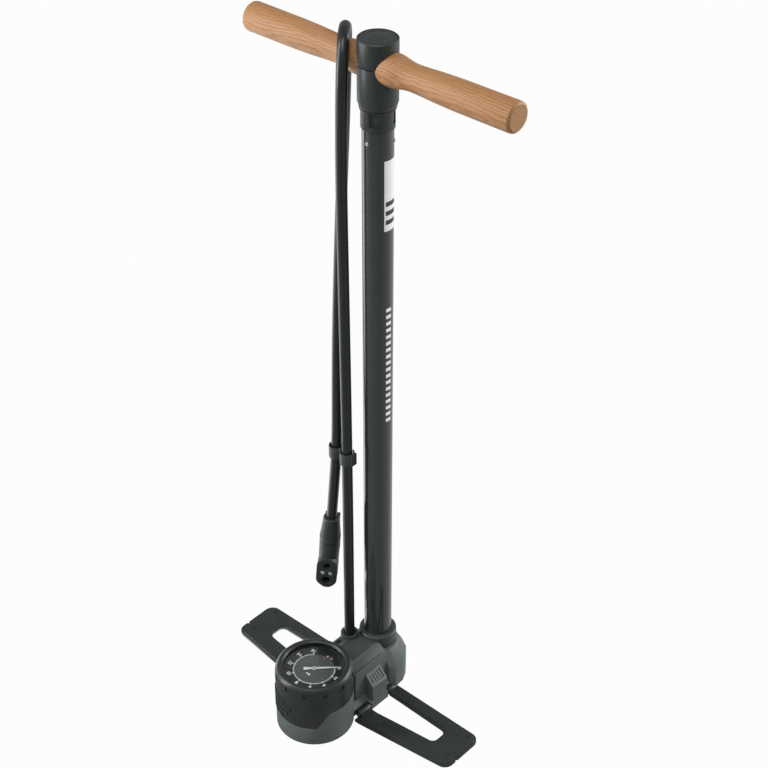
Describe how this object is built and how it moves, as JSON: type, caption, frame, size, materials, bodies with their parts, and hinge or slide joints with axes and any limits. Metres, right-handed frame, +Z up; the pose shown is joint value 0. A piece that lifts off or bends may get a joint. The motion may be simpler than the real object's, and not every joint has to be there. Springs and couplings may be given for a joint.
{
  "type": "floor bike pump",
  "caption": "Floor pump: wooden T handle on a slender steel barrel, a round pressure gauge in the base, folding loop feet and a hose hung over the handle.",
  "frame": {"origin": "on the barrel's axis, at the floor the pads stand on", "axes": "+X along the handle and the unfolded feet, -Y from the barrel to the gauge, +Z up"},
  "size_m": [0.295, 0.1628, 0.7162],
  "materials": {
    "painted_tube": "gloss",
    "cap_plastic": "satin",
    "steel": "satin",
    "nylon": "satin",
    "rubber": "matte",
    "cup_leather": "matte",
    "brass": "satin",
    "beech": "satin lacquer",
    "badge": "satin",
    "casting": "matte powder coat",
    "cover_plastic": "matte",
    "gauge_plastic": "satin",
    "lens": "clear",
    "gauge_case": "satin",
    "dial": "printed black, matte",
    "needle": "satin white",
    "needle_hub": "satin",
    "foot_paint": "matte powder coat",
    "hose_rubber": "semi-gloss",
    "clip_plastic": "satin",
    "chuck_plastic": "satin",
    "lever_plastic": "satin"
  },
  "bodies": {
    "base": {"air_pipe": "nylon", "barrel": "painted_tube", "barrel_cap": "cap_plastic", "base_casting": "casting", "base_cover": "cover_plastic", "base_pads": "rubber", "base_screws": "steel", "bourdon_tube": "brass", "cap_rivets": "steel", "chuck_body": "chuck_plastic", "chuck_nut": "chuck_plastic", "chuck_rivets": "steel", "chuck_seals": "rubber", "foot_left_catch": "casting", "foot_left_hinge_pin": "steel", "foot_right_catch": "casting", "foot_right_hinge_pin": "steel", "gauge_bezel": "gauge_plastic", "gauge_case": "gauge_case", "gauge_dial": "dial", "gauge_lens": "lens", "gauge_seal": "rubber", "gauge_sleeve": "gauge_plastic", "gauge_stem": "brass", "hose_clip": "clip_plastic", "hose_fitting": "brass", "hose_grommet": "rubber", "hose_riser": "hose_rubber", "hose_tail": "hose_rubber", "lever_pin": "steel", "piston_stop": "rubber", "rod_bushing": "nylon", "rod_wiper": "rubber", "valve_seat": "brass", "valve_spring": "steel"},
    "plunger": {"piston_rod": "steel", "piston_body": "nylon", "piston_guide_ring": "nylon", "piston_cup": "cup_leather", "piston_washer": "brass", "piston_nut": "steel", "handle": "beech", "head_body": "cap_plastic", "head_cap": "cap_plastic", "head_badge": "badge", "head_screw": "steel", "rod_bumper": "rubber", "hose_loop": "hose_rubber"},
    "needle": {"gauge_needle": "needle", "needle_arbor": "needle_hub"},
    "foot_right": {"foot_right": "foot_paint", "foot_right_pads": "rubber"},
    "foot_left": {"foot_left": "foot_paint", "foot_left_pads": "rubber"},
    "lever": {"chuck_lever": "lever_plastic"},
    "check_valve": {"valve_disc": "nylon"}
  },
  "joints": [
    {"name": "plunger_slide", "type": "slide", "parent": "base", "child": "plunger", "axis": [0, 0, 1], "range_m": [0, 0.5]},
    {"name": "needle_turn", "type": "hinge", "parent": "base", "child": "needle", "pos_m": [0, -0.095, 0.066], "axis": [0, 0, -1], "range_deg": [0, 270], "stiffness_Nm_per_rad": 0.0001, "springref_deg": -17.19},
    {"name": "foot_right_fold", "type": "hinge", "parent": "base", "child": "foot_right", "pos_m": [0.0345, -0.04, 0.006], "axis": [0, -1, 0], "range_deg": [0, 90]},
    {"name": "foot_left_fold", "type": "hinge", "parent": "base", "child": "foot_left", "pos_m": [-0.0345, -0.04, 0.006], "axis": [0, 1, 0], "range_deg": [0, 72]},
    {"name": "lever_flip", "type": "hinge", "parent": "base", "child": "lever", "pos_m": [-0.0546, -0.01125, 0.14463], "axis": [-0.8066, -0.586, 0.0777], "range_deg": [0, 95]},
    {"name": "valve_lift", "type": "slide", "parent": "base", "child": "check_valve", "axis": [0, 0, -1], "range_m": [0, 0.0018], "stiffness_N_per_m": 60, "springref_m": -0.003, "deforming": ["valve_spring"]}
  ]
}
